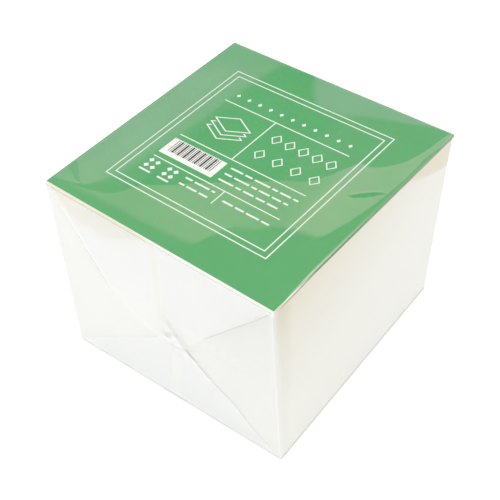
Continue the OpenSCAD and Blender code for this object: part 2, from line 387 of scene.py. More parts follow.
@dataclass(frozen=True)
class Sheen:
    """Painted sheen on the film of the top: where it mirrors more, in millimetres.

    Each line is a row of keys (x, y). The sheen is painted in a band between two lines and
    beyond a third one, and its reflection is painted darker in streaks and along the edges.

    Args:
        band_low: the front edge of the painted band.
        band_high: the back edge of the painted band.
        outer: the line behind which the sheen is painted out to the card's edge.
        outer_soft: how gradual that line is, in shares of 120 mm.
        band_level: how strong the band's painted sheen is.
        outer_level: how strong the rest of the painted sheen is.
        spindle: the middle of a short painted dark streak near the right edge.
        spindle_wide: half the streak's width, in shares of 120 mm.
        wedge: the middle of a painted dark streak at the left corner.
        wedge_wide: half the streak's width, in shares of 120 mm.
        drift: how far noise moves all the lines, in shares of 120 mm.
        sheen_cut: how far below nothing the painted sheen between the lines falls, a painted darker
            reflection.
    """

    band_low: tuple = (
        (-60, -41.5), (12, -41), (16, -33), (18, -29), (25, -25), (30, -20), (38, -18), (43, -17),
        (46, -11), (48, -2), (50, 8), (51, 18), (52, 36), (60, 60),
    )
    band_high: tuple = (
        (-60, -45), (-46, -42.4), (-38, -40.5), (-30, -39), (-26, -37.5), (-22, -34), (-19, -29),
        (-12, -24), (-2, -16), (10, -8), (20, -1), (27, 4), (31, 11), (33, 15), (35, 19), (40, 20),
        (45, 25), (48, 31), (50, 39), (51.5, 47), (60, 60),
    )
    outer: tuple = (
        (-60, -45), (-46, -41.2), (-40, -40.5), (-35, -38.8), (-31, -34), (-28, -25), (-24, 6),
        (-20, 46), (-16, 60), (-7, 60), (-4, 50), (1, 42), (6, 37), (14, 36), (22, 40), (30, 43),
        (40, 46), (48, 48.6), (60, 50),
    )
    outer_soft: tuple = (
        (-60, 0.01), (-36, 0.012), (-30, 0.08), (-26, 0.28), (-19, 0.3), (-12, 0.1), (-2, 0.06),
        (10, 0.05), (30, 0.03), (60, 0.01),
    )
    band_level: tuple = (
        (-60, 0.4), (-40, 0.6), (-25, 0.55), (-10, 0.6), (12, 0.6), (24, 0.5), (31, 0.65), (38, 1.0),
        (50, 0.9), (60, 0.9),
    )
    outer_level: tuple = (
        (-60, 0.6), (-45, 0.62), (-38, 0.72), (-30, 0.55), (-22, 0.45), (0, 0.5), (12, 0.62),
        (30, 0.6), (44, 0.7), (52, 0.95), (60, 0.9),
    )
    spindle: tuple = ((-60, 4.3), (40, 3.8), (44, 6.5), (50, 11.2), (60, 14))
    spindle_wide: tuple = (
        (-60, 0.0), (40, 0.0), (42.2, 0.008), (45, 0.012), (48, 0.008), (50.4, 0.0), (60, 0.0),
    )
    wedge: tuple = ((-60, -30), (-46, -33), (-37, -38.5), (60, -60))
    wedge_wide: tuple = (
        (-60, 0.018), (-46, 0.018), (-42, 0.014), (-37.5, 0.004), (-36.5, 0.0), (60, 0.0),
    )
    drift: float = 0.016
    sheen_cut: float = 0.25

    def painted_sheen(self, tree: Tree, point: Socket) -> Socket:
        """How strong the painted sheen of the top is at a point, from 0 to about 1.

        Args:
            tree: the material's nodes.
            point: the point that is shaded.

        Returns:
            The painted sheen, and a little below 0 where the reflection is painted darker.
        """
        x, y = (tree.axis(point, which) * (1 / (CURVE_SPAN * MM)) + 0.5 for which in range(2))
        drift = (tree.noise(point, 70.0, 3.0, 0.55) - 0.5) * self.drift
        x, y = x + drift, y - drift
        ahead = tree.step(tree.curve(x, key_places(self.band_high)) - y, -0.003, 0.009)
        band = ahead * tree.step(y - tree.curve(x, key_places(self.band_low)), -0.012, 0.02)
        band = band * tree.curve(x, key_levels(self.band_level))
        behind = y - tree.curve(x, key_places(self.outer))
        behind = tree.step(behind / tree.curve(x, key_levels(self.outer_soft)), -0.5, 0.5)
        outer = behind * tree.curve(x, key_levels(self.outer_level))
        outer = outer * (1.0 - tree.step(y - x, 0.52, 0.7) * 0.45)
        clouds = tree.noise(point, 38.0, 4.0, 0.6) * 0.7 + 0.65
        between = (1.0 - ahead) * (1.0 - behind) * (tree.step(x, 0.3, 0.38) - tree.step(x, 0.58, 0.68))
        painted_sheen = tree.larger(band, outer) * clouds - between * self.sheen_cut
        # Painted dark streaks cut the painted sheen, and a painted highlight runs along the spindle's
        # side
        rim = self._streak(tree, x + 0.004, y - 0.011, self.spindle, self.spindle_wide)
        cut = self._streak(tree, x, y, self.spindle, self.spindle_wide) * 1.15
        cut = cut + self._streak(tree, x, y, self.wedge, self.wedge_wide) * 0.6
        return painted_sheen * (1.0 - cut) + rim * (1.0 - cut) * 0.25

    @staticmethod
    def _streak(tree: Tree, x: Socket, y: Socket, middle: tuple, wide: tuple) -> Socket:
        """1 along a line and 0 beyond its half width, both given as keys along x."""
        off = abs(y - tree.curve(x, key_places(middle))) / (tree.curve(x, key_levels(wide)) + 0.0001)
        return 1.0 - tree.step(off, 0.75, 1.05)


# What the film's finish reads at each point of its mesh: how far the seal puckers it, which also
# adds painted reflection, its distance in millimetres to a crease or to a painted dark line, how
# strong that painted dark line and the painted highlight beside it are, how much painted
# highlight the film has and how far it lies under other film
FILM_MARKS = ("seal", "crease", "crease_paint", "glint", "inner")
NO_CREASE = 9.0


@dataclass(frozen=True)
class ClearFilm:
    """Clear glossy film: it passes light straight on and mirrors the rest.

    Args:
        head_on: share of light that both faces together mirror, seen square on.
        trapped: how much more of it film under film mirrors, with air between.
        roughness: how soft the mirror image is.
        relief: how deep the film's small dents are.
        beads: how much painted reflection the spots of a seal add to what the film mirrors.
        ridge: how much painted highlight lies beside a crease, and how much less the crease mirrors.
        glint: how much a painted highlight along an edge adds to what the film mirrors.
        sheen: how much more the top mirrors where its sheen is painted.
        sheen_cut: how much less all film of the top mirrors, under its painted sheen.
        clear: what a flat film lets through.
        dim: what the film lets through on a painted dark line, and faintly on a seal.
    """

    head_on: float = 0.085
    trapped: float = 0.6
    roughness: float = 0.06
    relief: float = 0.6 * MM
    beads: float = 0.45
    ridge: float = 0.14
    glint: float = 0.85
    sheen: float = 0.19
    sheen_cut: float = 0.06
    clear: tuple[float, float, float] = (0.996, 0.999, 1.0)
    dim: tuple[float, float, float] = (0.22, 0.27, 0.2)

    def material(self) -> bpy.types.Material:
        """Builds the film's material.

        Returns:
            The material, which has its slot's name.
        """
        tree, made = Tree.material("clear_film")
        point = tree.place()
        seal, crease, crease_paint, glint, inner = (tree.attribute(name) for name in FILM_MARKS)
        drawn = tree.noise(tree.stretched(point, (40.0, 9.0, 40.0)), 1.0, 3.0, 0.5)
        fine = tree.noise(point, 420.0, 2.0, 0.5)
        spots = {"Vector": point, "Scale": 420.0}
        cells = tree.node("ShaderNodeTexVoronoi", {"feature": "SMOOTH_F1"}, spots)
        normal = tree.bump(drawn * 0.5 + fine * 0.06 + cells * seal * 0.12, self.relief, 0.5)
        # Painted shade and highlight: a dark line painted along each crease and under the card's edge,
        # with a painted highlight beside it
        line = tree.ramp(crease, 0.1, 0.45, 1.0, 0.0) * crease_paint
        beside = tree.ramp(crease, 0.4, 1.3, 1.0, 0.0) * crease_paint
        facing = tree.node("ShaderNodeLayerWeight", None, {"Blend": 0.5}, "Facing")
        mirrored = facing ** 5.0 * (1.0 - self.head_on) + self.head_on
        mirrored = mirrored * (1.0 + inner * self.trapped)
        # Painted reflection on the seal's spots, the painted crease highlight and the painted glint of
        # edges
        mirrored = mirrored + seal * (cells - 0.1) * self.beads + (beside - line) * self.ridge
        mirrored = mirrored + glint * self.glint
        # Painted sheen and painted darker reflection on the top only
        top = tree.step(tree.axis(point, 2), 78.3 * MM, 78.4 * MM)
        mirrored = mirrored + top * (Sheen().painted_sheen(tree, point) * self.sheen - self.sheen_cut)
        clear, dim = (
            tree.node("ShaderNodeBsdfTransparent", None, {"Color": rgba(colour)})
            for colour in (self.clear, self.dim)
        )
        # Painted dark line: the film passes less light on a crease line, and a little less on a seal
        passed = tree.node("ShaderNodeMixShader", None, {0: line * 0.9 + seal * 0.03, 1: clear, 2: dim})
        mirror = {"Color": rgba((1.0, 1.0, 1.0)), "Roughness": self.roughness, "Normal": normal}
        gloss = tree.node("ShaderNodeBsdfAnisotropic", None, mirror)
        tree.finish(tree.node("ShaderNodeMixShader", None, {0: mirrored, 1: passed, 2: gloss}))
        return made


@dataclass
class Waves:
    """Smooth seeded ripples, a sum of plane waves.

    Args:
        seed: the number that the directions and phases are drawn from.
        length: the middle wavelength in metres.
        count: how many waves are summed.
    """

    seed: int
    length: float
    count: int = 9
    _turns: np.ndarray = field(init=False)
    _phases: np.ndarray = field(init=False)

    def __post_init__(self) -> None:
        """Draws the waves."""
        draw = np.random.default_rng(self.seed)
        angles = draw.uniform(0, math.pi, self.count)
        lengths = self.length * draw.uniform(0.7, 1.5, self.count)
        self._turns = np.stack([np.cos(angles), np.sin(angles)]) * 2 * math.pi / lengths
        self._phases = draw.uniform(0, 2 * math.pi, self.count)

    def at(self, a: np.ndarray, b: np.ndarray) -> np.ndarray:
        """Heights from about -1 to 1 at the points (a, b)."""
        angle = a[..., None] * self._turns[0] + b[..., None] * self._turns[1] + self._phases
        return np.sin(angle).sum(-1) / math.sqrt(2 * self.count)


def clear_selection() -> None:
    """Deselects everything, in object mode."""
    if bpy.context.mode != "OBJECT":
        bpy.ops.object.mode_set(mode="OBJECT")
    bpy.ops.object.select_all(action="DESELECT")


def activate(piece: bpy.types.Object) -> None:
    """Makes a piece the only selected one and the active one.

    Args:
        piece: the piece.
    """
    clear_selection()
    piece.select_set(True)
    bpy.context.view_layer.objects.active = piece


def vertices(piece: bpy.types.Object) -> np.ndarray:
    """A piece's vertices as rows of x, y and z.

    Args:
        piece: the piece, which has a mesh.

    Returns:
        The rows, in the frame's metres.
    """
    flat = np.empty(len(piece.data.vertices) * 3)
    piece.data.vertices.foreach_get("co", flat)
    return flat.reshape(-1, 3)


def set_vertices(piece: bpy.types.Object, points: np.ndarray) -> None:
    """Puts a piece's vertices at the rows of points."""
    piece.data.vertices.foreach_set("co", points.ravel())
    piece.data.update()


def read(place: Any, keys: tuple[Sequence[float], Sequence[float]]) -> np.ndarray:
    """What a row of places and a row of values give at a place, straight between them."""
    return np.interp(place, keys[0], keys[1])


@dataclass(frozen=True)
class Block:
    """The stack that the film wraps, which slides, turns and spreads from base to top.

    Args:
        side: the sheets' side.
        spread: how much wider the loose sheets at the top lie.
        turn: how far the top sheet is turned, in degrees.
        lean: how far the top sheet has slid, in x and y.
        base: the height of the bottom sheet.
        top: the height of the top sheet.
    """

    side: float = 95.0 * MM
    spread: float = 1.2 * MM
    turn: float = -2.2
    lean: tuple[float, float] = (3.3 * MM, 1.3 * MM)
    base: float = 0.08 * MM
    top: float = 78.08 * MM

    def carried(self, points: np.ndarray, level: np.ndarray) -> np.ndarray:
        """Where points of an upright stack lie in the leaning one.

        Args:
            points: rows of x, y and z.
            level: each row's share of the stack's height.

        Returns:
            The rows at their places.
        """
        angle = math.radians(self.turn) * level
        grow = 1 + self.spread / self.side * level
        moved = points.copy()
        moved[:, 0] = (np.cos(angle) * points[:, 0] - np.sin(angle) * points[:, 1]) * grow
        moved[:, 1] = (np.sin(angle) * points[:, 0] + np.cos(angle) * points[:, 1]) * grow
        moved[:, 0] += self.lean[0] * level
        moved[:, 1] += self.lean[1] * level
        return moved

    def corner(self, right: int, back: int) -> np.ndarray:
        """A corner of the top sheet, right and back each -1 or 1."""
        upright = np.array([[right * self.side / 2, back * self.side / 2, self.top + 0.03 * MM]])
        return self.carried(upright, np.ones(1))[0]


@dataclass
class Card:
    """The label card on top of the stack, as the film meets it.

    Args:
        side: the square card's side.
        turn: how far it is turned on the stack, in degrees.
        centre: its middle, in x and y.
        top: the height of its printed face.
    """

    side: float = 96.4 * MM
    turn: float = -2.35
    centre: tuple[float, float] = (3.25 * MM, 2.2 * MM)
    top: float = 78.43 * MM

    def corner(self, right: int, back: int) -> np.ndarray:
        """A corner of the card, right and back each -1 or 1.

        Args:
            right: 1 for the right side and -1 for the left one.
            back: 1 for the back and -1 for the front.

        Returns:
            Its x, y and z.
        """
        angle = math.radians(self.turn)
        a = right * self.side / 2
        b = back * self.side / 2
        x = self.centre[0] + math.cos(angle) * a - math.sin(angle) * b
        y = self.centre[1] + math.sin(angle) * a + math.cos(angle) * b
        return np.array([x, y, self.top])

    def outside(self, x: np.ndarray, y: np.ndarray) -> np.ndarray:
        """How far points lie outside the card's outline, 0 over the card.

        Args:
            x: the points' x.
            y: the points' y.

        Returns:
            How far past its edges they are.
        """
        angle = math.radians(-self.turn)
        a = x - self.centre[0]
        b = y - self.centre[1]
        across = np.abs(math.cos(angle) * a - math.sin(angle) * b) - self.side / 2
        along = np.abs(math.sin(angle) * a + math.cos(angle) * b) - self.side / 2
        return np.maximum(np.maximum(across, along), 0)


@dataclass(frozen=True)
class EdgeShade:
    """Painted shade on the sheets' edges, where the card and the folded film keep the light off.

    All places are in millimetres: x, y, and down from the top sheet. Keys are a row of
    places and a row of values.

    Args:
        patch: by y, how far down the patch under the card's far right corner reaches.
        fall: how far down the shade of the right side has faded to a third.
        wedge: by x, how far down the shade of the front reaches.
        band: the x of the painted shade under the welded strip on the front, and half its width.
        upper: by x, how far down the right crease of the upper flap runs.
        lower: by x, how far down the lower flap begins.
        open_share: by x, how dim the paper is between those two.
    """

    patch: tuple = ((10, 24, 33, 41, 46, 60), (0, 3, 8, 11.5, 13, 14))
    fall: float = 30.0
    wedge: tuple = ((-47, -35, -20, -3, 4, 60), (1, 13, 12, 4, 0, 0))
    band: tuple[float, float] = (1.8, 2.1)
    upper: tuple = ((10, 18, 46), (45, 33, 2))
    lower: tuple = ((10, 24, 33, 47), (47, 57, 64, 78))
    open_share: tuple = ((8, 20, 32, 40), (0, 0.3, 0.8, 1))

    def right(self, y: np.ndarray, down: np.ndarray) -> np.ndarray:
        """How deep the warm shade of the right side is, from 0 to 1.

        Args:
            y: the points' y.
            down: how far below the top sheet they are.

        Returns:
            The shade at each point.
        """
        below = np.maximum(down, 0)
        patch = np.clip((read(y, self.patch) - down) / 1.2, 0, 1)
        beside = 0.3 * np.exp(-np.maximum(y + 47.5, 0) / 2.6) * np.clip((66 - down) / 20, 0, 1)
        falling = (0.85 - 0.65 * (y / 95 + 0.5)) * np.exp(-below / self.fall)
        falling += 0.3 * np.exp(-below / 1.5)
        return np.maximum(np.maximum(patch, beside), falling)

    def front(self, x: np.ndarray, down: np.ndarray) -> np.ndarray:
        """How deep the warm shade of the front is, from 0 to 1.

        Args:
            x: the points' x.
            down: how far below the top sheet they are.

        Returns:
            The shade at each point.
        """
        wedge = np.clip((read(x, self.wedge) - down) / 4.0, 0, 1) * 0.7
        middle, half = self.band
        band = 0.25 * np.exp(-((x - middle) / half) ** 4) * np.clip((44 - down) / 4, 0, 1)
        return np.maximum(wedge, band)

    def dusk(self, x: np.ndarray, down: np.ndarray) -> np.ndarray:
        """How dim the front is right of its flaps, from 0 to 1.

        Args:
            x: the points' x.
            down: how far below the top sheet they are.

        Returns:
            The dimness at each point.
        """
        crease = read(x, self.upper)
        below = np.clip((down - crease + 0.5) / 1.0, 0, 1) * np.clip((x - 8) / 6, 0, 1)
        below = below * np.clip((read(x, self.lower) - down) / 3.0, 0, 1)
        below = below * read(x, self.open_share)
        return below * (0.12 + 0.42 * np.exp(-np.maximum(down - crease, 0) / 14))


@dataclass
class SheetStack:
    """The stack of loose sheets, in courses of a few sheets each.

    Args:
        block: the stack's form.
        courses: how many courses the stack has.
        parts: how many parts each side of a course is divided into.
        groove: how far a course's edge falls back at its joints.
        slip: how far a course may lie back from the stack's outline.
        crushed: how far the bottom sheets' edges are pressed in.
        seed: the number that the slips are drawn from.
    """

    block: Block
    courses: int = 200
    parts: int = 32
    groove: float = 0.008 * MM
    slip: float = 0.03 * MM
    crushed: float = 0.25 * MM
    seed: int = 11

    @property
    def side(self) -> float:
        """The sheets' side."""
        return self.block.side

    def build(self) -> bpy.types.Object:
        """Models the stack.

        Returns:
            The finished piece.
        """
        low, high = self.block.base, self.block.top
        rise = (high - low) / self.courses
        clear_selection()
        bpy.ops.mesh.primitive_cylinder_add(
            vertices=4 * self.parts, radius=self.side / 2, depth=rise, end_fill_type="NOTHING",
            location=(0.0, 0.0, low + rise / 2),
        )
        piece = bpy.context.object
        piece.name = "sheet_stack"
        bpy.ops.object.transform_apply(location=True, rotation=True, scale=True)
        self._cut_course(piece, rise)
        self._square(piece, low, rise)
        self._pile(piece, rise)
        self._slip(piece)
        self._close(piece)
        self._shade(piece)
        piece.data.materials.clear()
        piece.data.materials.append(SheetPaper().material())
        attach(piece, BODY)
        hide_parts("sheet_block")
        return piece

    def _cut_course(self, piece: bpy.types.Object, rise: float) -> None:
        """Divides the course's wall by two level cuts near its joints.

        Args:
            piece: the course.
            rise: its height.
        """
        base = vertices(piece)[:, 2].min()
        for share in (0.2, 0.8):
            bpy.ops.object.mode_set(mode="EDIT")
            bpy.ops.mesh.select_all(action="SELECT")
            bpy.ops.mesh.bisect(plane_co=(0, 0, base + rise * share), plane_no=(0, 0, 1))
            bpy.ops.object.mode_set(mode="OBJECT")

    def _square(self, piece: bpy.types.Object, base: float, rise: float) -> None:
        """Moves the round course's vertices to the square outline of a sheet.

        Args:
            piece: the course.
            base: the height that it starts at.
            rise: its own height.
        """
        points = vertices(piece)
        turn = np.arctan2(points[:, 1], points[:, 0]) / (math.pi / 2) - 0.5
        quarter = np.round(turn)
        along = (turn - quarter) * self.side
        angle = (quarter + 0.5) * math.pi / 2 + math.pi / 4
        out = np.stack([np.cos(angle), np.sin(angle)], 1)
        step = np.stack([-out[:, 1], out[:, 0]], 1)
        level = (points[:, 2] - base) / rise
        reach = self.side / 2 - self.groove * ((level < 0.1) | (level > 0.9))
        along = np.clip(along, -reach, reach)
        points[:, :2] = out * reach[:, None] + step * along[:, None]
        set_vertices(piece, points)

    def _pile(self, piece: bpy.types.Object, rise: float) -> None:
        """Repeats the course up to the stack's height.

        Args:
            piece: the lowest course.
            rise: its height.
        """
        array = piece.modifiers.new("courses", "ARRAY")
        array.count = self.courses
        array.use_relative_offset = False
        array.use_constant_offset = True
        array.constant_offset_displace = (0, 0, rise)
        array.use_merge_vertices = True
        array.merge_threshold = rise / 20
        activate(piece)
        bpy.ops.object.modifier_apply(modifier=array.name)

    def _slip(self, piece: bpy.types.Object) -> None:
        """Leans the stack and lets its courses lie unevenly, always inside its outline.

        Args:
            piece: the upright stack.
        """
        points = vertices(piece)
        level = (points[:, 2] - self.block.base) / (self.block.top - self.block.base)
        course = np.clip(np.floor(level * self.courses), 0, self.courses - 1).astype(int)
        draw = np.random.default_rng(self.seed)
        drift = np.cumsum(draw.normal(0, 1, (self.courses, 2)), 0)
        drift -= np.linspace(0, 1, self.courses)[:, None] * drift[-1]
        drift = drift / np.abs(drift).max() * 0.35 + draw.uniform(-0.15, 0.15, (self.courses, 2))
        ripple = Waves(self.seed, 60 * MM)
        back = 0.5 + 0.25 * ripple.at(points[:, 0] + points[:, 1], points[:, 2])
        shrink = 1 - 2 * self.slip * np.clip(back, 0, 1) / self.side
        points[:, :2] *= shrink[:, None]
        points[:, :2] += drift[course] * self.slip
        height = points[:, 2] - self.block.base
        points[:, :2] *= (1 - 2 * self.crushed * np.exp(-height / self.crushed) / self.side)[:, None]
        set_vertices(piece, self.block.carried(points, level))

    def _shade(self, piece: bpy.types.Object) -> None:
        """Stores painted shade where the overhanging card and folded film keep light off the sheets'
        edges.

        Args:
            piece: the finished stack.
        """
        points = vertices(piece)
        x, y = points[:, 0] / MM, points[:, 1] / MM
        down = (self.block.top - points[:, 2]) / MM
        shade = EdgeShade()
        right = shade.right(y, down) * (x > 46) * (y > -47.2)
        front = shade.front(x, down) * (y < -42)
        under = shade.dusk(x, down) * (y < -42)
        for name, values in (("shaded", np.maximum(right, front)), ("dusk", under)):
            mask = piece.data.attributes.new(name, "FLOAT", "POINT")
            mask.data.foreach_set("value", values.astype(np.float32))

    def _close(self, piece: bpy.types.Object) -> None:
        """Fills the open top and bottom and turns all faces outwards.

        Args:
            piece: the stack's wall.
        """
        activate(piece)
        bpy.ops.object.mode_set(mode="EDIT")
        bpy.ops.mesh.select_all(action="DESELECT")
        bpy.ops.mesh.select_non_manifold()
        bpy.ops.mesh.edge_face_add()
        bpy.ops.mesh.select_all(action="SELECT")
        bpy.ops.mesh.normals_make_consistent(inside=False)
        bpy.ops.object.mode_set(mode="OBJECT")


# How far along X the seal has pulled the creases of a flap, by the depth below its fold,
# in millimetres: the left crease, then the right one
UPPER_CREASES = (
    ((0, 6, 15, 31, 35, 43, 46), (0, -0.5, -3, -10, -11, -9, -8)),
    ((0, 15, 33, 45, 46), (0, 2, 4, 6.6, 6.6)),
)
LOWER_CREASES = (
    ((0, 8, 18, 31, 38, 46), (0, 3, 7.3, 13, 9, 2)),
    ((0, 9, 17, 24, 33, 46), (0, -2, -1, -4, -5.6, -1)),
)

# The welded spots of a folded end, in millimetres from the left and below the top: the middle
# and half widths of the round patch where the flaps meet, then two lines right of it, each by
# a point, its slope, its half width and its ends, then the faint upright strip above the patch
# by its middle, its half width and its foot
SEAL_PATCH = (53, 45, 9, 7)
SEAL_LINES = ((56, 43.5, 0.8, 2.6, 48, 80), (66, 36, -0.12, 1.6, 65, 84))
SEAL_STRIP = (49.3, 2.1, 46)

# How strong the painted dark line and highlight along the left and the right crease of each
# flap are, from 0 to 1
UPPER_CREASE_PAINT = (0.26, 0.24)
LOWER_CREASE_PAINT = (0.07, 0.09)

# The right edge of the top, by shares of its length from front to back: how far below the edge
# its painted highlight runs, in millimetres, and how bright that is, then the same of the painted
# shadow line under the card's edge
BRIGHT_PLACE = ((0.04, 0.09, 0.2, 1), (0.75, 0.15, -0.35, -0.5))
BRIGHT_LEVEL = ((0, 0.04, 0.09, 0.2, 0.34, 0.55, 1), (1, 1.1, 1.1, 0.8, 0.45, 0.1, 0.1))
DARK_PLACE = ((0.04, 0.09, 0.2), (1.5, 0.9, 0.3))
DARK_LEVEL = ((0, 0.03, 0.07, 0.12, 1), (0.1, 0.3, 0.9, 1.0, 0.9))


@dataclass
class FilmWrap:
    """The clear film: one open sheet, lapped under the base and folded over both ends.

    The sheet is laid out flat as a grid of columns round the tube and rows along it. Each
    grid point is then sent to its place on the tube or on a folded end.

    Args:
        block: the stack under the film.
        card: the label card under the film.
        side: the block's side at its base.
        clearance: how far the film lies off what it wraps.
        step: the grid's spacing, which divides fold_depth.
        fold_depth: how far the film reaches in over an end.
        tuck_seam: how far from the left the two tucked sides of an end meet.
        bend: the grid's extra places next to a bend.
        lap: the width of the lap under the base.
        layer: how far apart the layers of a folded end lie.
        flat_size: the sheet's girth and length before it was folded; not used.
        rim_lift: how far the film of the base is off the table at its edges.
        fold_reach: how far from a fold the film has come about two thirds of its way off.
        held_depth: how far below its fold a crease is still sharp.
        flap_out: how many layers out a flap lies.
        tuck_out: how many layers out the film lies that is turned under a flap.
        edge_lift: how far a flap gapes along its crease.
        end_swell: how far the film of an end stands off, in millimetres.
        ripples: how high the ripples of an end, a side and the top are, in millimetres.
    """

    block: Block
    card: Card
    side: float = 95.0 * MM
    clearance: float = 0.04 * MM
    step: float = 1.13 * MM
    fold_depth: float = 45.2 * MM
    tuck_seam: float = 46.5 * MM
    bend: tuple[float, ...] = (0.25 * MM, 0.5 * MM, 0.8 * MM)
    lap: float = 12.0 * MM
    layer: float = 0.12 * MM
    flat_size: tuple[float, float] = (358.0 * MM, 185.0 * MM)
    rim_lift: float = 0.2 * MM
    fold_reach: float = 0.6 * MM
    held_depth: float = 37.0 * MM
    flap_out: float = 2.9
    tuck_out: float = 1.9
    edge_lift: float = 0.25 * MM
    end_swell: float = 0.12
    ripples: tuple[float, float, float] = (0.1, 0.16, 0.22)

    def __post_init__(self) -> None:
        """Draws the film's ripples."""
        self.base = 0.05 * MM
        self.foot = self.base + self.rim_lift
        self.height = self.block.top
        self.end_waves = Waves(3, 26 * MM)
        self.side_waves = Waves(5, 60 * MM)
        self.top_waves = Waves(8, 45 * MM)
        self.seal_waves = Waves(13, 2.6 * MM, 24)

    def lines(self, length: float) -> np.ndarray:
        """The grid's places along a side of the tube, close together next to its bends.

        Args:
            length: the side's length.

        Returns:
            The places in order, from 0 to the length.
        """
        half = length / 2
        near = np.arange(0, min(self.fold_depth + self.step / 2, half), self.step)
        rest = half - near[-1]
        inner = near[-1] + rest * np.linspace(0, 1, max(int(round(rest / self.step)), 1) + 1)[1:]
        first = np.concatenate([near[:1], self.bend, near[1:], inner])
        return np.concatenate([first, length - first[-2::-1]])

    def depths(self) -> np.ndarray:
        """The grid's places along the film that reaches in over an end.

        Returns:
            The places in order, from 0 to the film's edge.
        """
        near = np.arange(0, self.fold_depth + self.step / 2, self.step)
        return np.concatenate([near[:1], self.bend, near[1:]])

    def stops(self, side: Side) -> tuple[list[np.ndarray], list[np.ndarray]]:
        """The corners that the film passes at the block's top.

        Args:
            side: which side of the tube, for the ends Side.BASE is front and Side.TOP back.

        Returns:
            The corners of the film's edge and those of the top sheet under it.
        """
        sheet = self.block.corner
        card = self.card.corner
        return {
            Side.RIGHT: ([sheet(1, -1), card(1, -1), card(1, 1)], [sheet(1, -1), sheet(1, 1)]),
            Side.LEFT: ([sheet(-1, -1), card(-1, -1), card(-1, 1)], [sheet(-1, -1), sheet(-1, 1)]),
            Side.BASE: ([sheet(-1, -1), sheet(1, -1)], [sheet(-1, -1), sheet(1, -1)]),
            Side.TOP: ([card(-1, 1), card(1, 1)], [sheet(-1, 1), sheet(1, 1)]),
        }[side]

    @staticmethod
    def along_stops(stops: list[np.ndarray], share: np.ndarray) -> np.ndarray:
        """Points at shares of the way along a line through stops, as rows of x, y and z.

        Args:
            stops: the line's corners.
            share: how far along it the points are, from 0 to 1.

        Returns:
            A row for each share.
        """
        spans = [np.linalg.norm(b - a) for a, b in zip(stops, stops[1:])]
        marks = np.concatenate([[0], np.cumsum(spans)]) / sum(spans)
        return np.stack([np.interp(share, marks, [p[k] for p in stops]) for k in range(3)], -1)

    def outline(self, side: Side, share: np.ndarray) -> np.ndarray:
        """Points of the film's edge at the block's top, from the left or front."""
        return self.along_stops(self.stops(side)[0], share)

    def wall(self, side: Side, low: np.ndarray, share: np.ndarray, rise: np.ndarray) -> np.ndarray:
        """Points of the film where it clings to the sheets below the card.

        Args:
            side: which side of the tube, for the ends Side.BASE is front and Side.TOP back.
            low: the points of the base under them.
            share: how far along the side they are, from 0 at the left or front to 1.
            rise: how far up they are, from 0 to 1.

        Returns:
            Rows of x, y and z.
        """
        edge, sheet = (self.along_stops(stops, share) for stops in self.stops(side))
        cling = np.exp(-(1 - rise) * self.height / (5 * MM))
        return low + (sheet - low) * rise[..., None] + (edge - sheet) * cling[..., None]

    def end_point(self, back: bool, u: np.ndarray, v: np.ndarray, off: np.ndarray) -> np.ndarray:
        """A point on a folded end.

        Args:
            back: True for the far end.
            u: how far from the left, from 0 to the block's side.
            v: how far below the top.
            off: how far out of the taut film.

        Returns:
            Rows of x, y and z.
        """
        share = u / self.side
        way = 1 if back else -1
        y, z = np.full_like(u, way * self.side / 2), np.full_like(u, self.foot)
        low = np.stack([(share - 0.5) * self.side, y, z], -1)
        point = self.wall(Side.TOP if back else Side.BASE, low, share, 1 - v / self.height)
        point[..., 1] += way * (self.clearance + off)
        return point

    def soft(self, distance: np.ndarray, reach: float) -> np.ndarray:
        """0 at a fold and 1 well away from it."""
        return 1 - np.exp(-np.maximum(distance, 0) / reach)

    def drawn(self, side: Side, u: np.ndarray, v: np.ndarray) -> np.ndarray:
        """How far from the left a point lies once its flap has been drawn tight and sealed.

        Args:
            side: the side of the tube that the film comes from.
            u: how far from the left it would lie in an even fold.
            v: how far below the top it lies.

        Returns:
            The new distances from the left.
        """
        if side in (Side.LEFT, Side.RIGHT):
            way = self.tuck_seam if side is Side.LEFT else self.side - self.tuck_seam
            depth = u if side is Side.LEFT else self.side - u
            depth = depth * (1 + (way / self.fold_depth - 1) * np.clip(depth / self.fold_depth, 0, 1))
            return depth if side is Side.LEFT else self.side - depth
        own = v if side is Side.TOP else self.height - v
        left, right = UPPER_CREASES if side is Side.TOP else LOWER_CREASES
        reach = np.minimum(own, self.fold_depth)
        pull_left = read(reach / MM, left) * MM
        pull_right = read(reach / MM, right) * MM
        far = self.side - reach
        before = u * (1 + pull_left / np.maximum(reach, 1e-6))
        after = self.side - (self.side - u) * (1 - pull_right / np.maximum(reach, 1e-6))
        part = np.clip((u - reach) / np.maximum(far - reach, 1e-6), 0, 1)
        between = u + pull_left * (1 - part) + pull_right * part
        return np.where(u < reach, before, np.where(u > far, after, between))

    def end_form(self, back: bool, u: np.ndarray, v: np.ndarray) -> np.ndarray:
        """How far the film of an end stands off where it is drawn in, before its layers.

        Args:
            back: True for the far end.
            u: how far from the left.
            v: how far below the top.

        Returns:
            The distances out of the taut film.
        """
        seed = 40 * MM if back else 0.0
        edge = np.minimum(np.minimum(u, self.side - u), np.minimum(v, self.height - v))
        waves = self.end_waves.at(u + seed, v)
        return self.soft(edge, 6 * MM) * (self.end_swell + self.ripples[0] * waves) * MM

